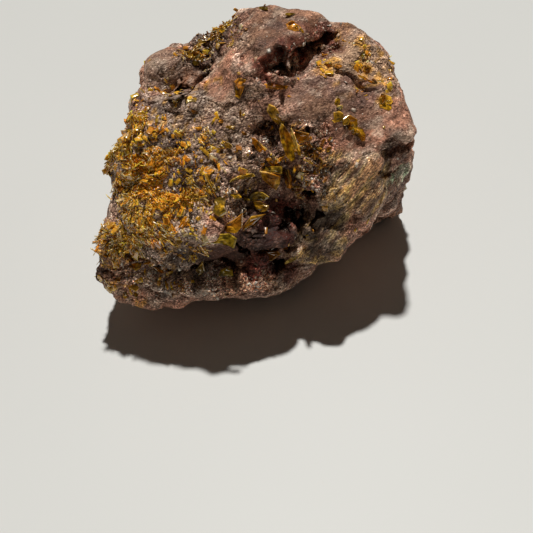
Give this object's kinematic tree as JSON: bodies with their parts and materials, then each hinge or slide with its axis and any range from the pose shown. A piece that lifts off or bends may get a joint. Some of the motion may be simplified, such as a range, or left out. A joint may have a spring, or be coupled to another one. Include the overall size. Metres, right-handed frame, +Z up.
{
  "type": "wulfenite specimen on matrix",
  "caption": "Hand-sized broken lump of vuggy matrix rock with golden tabular wulfenite crystals and druse on its front and top, resting on a flat broken base.",
  "frame": {"origin": "bottom centre of the specimen's box, on the plane that its flat broken base rests on", "axes": "+X to the right along the specimen's longest extent as seen from its crystal side, +Y away from that side, +Z up"},
  "size_m": [0.0458, 0.0446, 0.0387],
  "materials": {
    "matrix_rock": "rough broken rock, mauve-brown to grey",
    "wulfenite_blade": "honey-yellow, translucent, adamantine",
    "wulfenite_druse": "golden orange, translucent, sparkling"
  },
  "bodies": {
    "root": {"matrix": "matrix_rock", "blade_top_fan": "wulfenite_blade", "blade_twin": "wulfenite_blade", "blade_side": "wulfenite_blade", "blade_honey_bar": "wulfenite_blade", "blade_honey": "wulfenite_blade", "blade_olive_strip": "wulfenite_blade", "blade_thin": "wulfenite_blade", "blade_yellow_stub": "wulfenite_blade", "blade_olive_twist": "wulfenite_blade", "blade_orange": "wulfenite_blade", "blade_ledge": "wulfenite_blade", "blade_pink_edge": "wulfenite_blade", "blade_brown_low": "wulfenite_blade", "blade_yellow_low": "wulfenite_blade", "blade_pale_fin": "wulfenite_blade", "blade_pale": "wulfenite_blade", "plate_square": "wulfenite_blade", "plate_brown": "wulfenite_blade", "plate_glint": "wulfenite_blade", "plates_crown": "wulfenite_blade", "plates_ridge": "wulfenite_blade", "plate_vug": "wulfenite_blade", "plates_groove": "wulfenite_blade", "druse_01": "wulfenite_druse", "druse_02": "wulfenite_druse", "druse_03": "wulfenite_druse", "druse_04": "wulfenite_druse", "druse_05": "wulfenite_druse", "druse_06": "wulfenite_druse", "druse_07": "wulfenite_druse", "druse_08": "wulfenite_druse", "druse_09": "wulfenite_druse", "druse_10": "wulfenite_druse", "druse_11": "wulfenite_druse", "druse_12": "wulfenite_druse", "druse_13": "wulfenite_druse", "druse_14": "wulfenite_druse", "druse_15": "wulfenite_druse", "druse_16": "wulfenite_druse", "druse_17": "wulfenite_druse"}
  },
  "joints": []
}
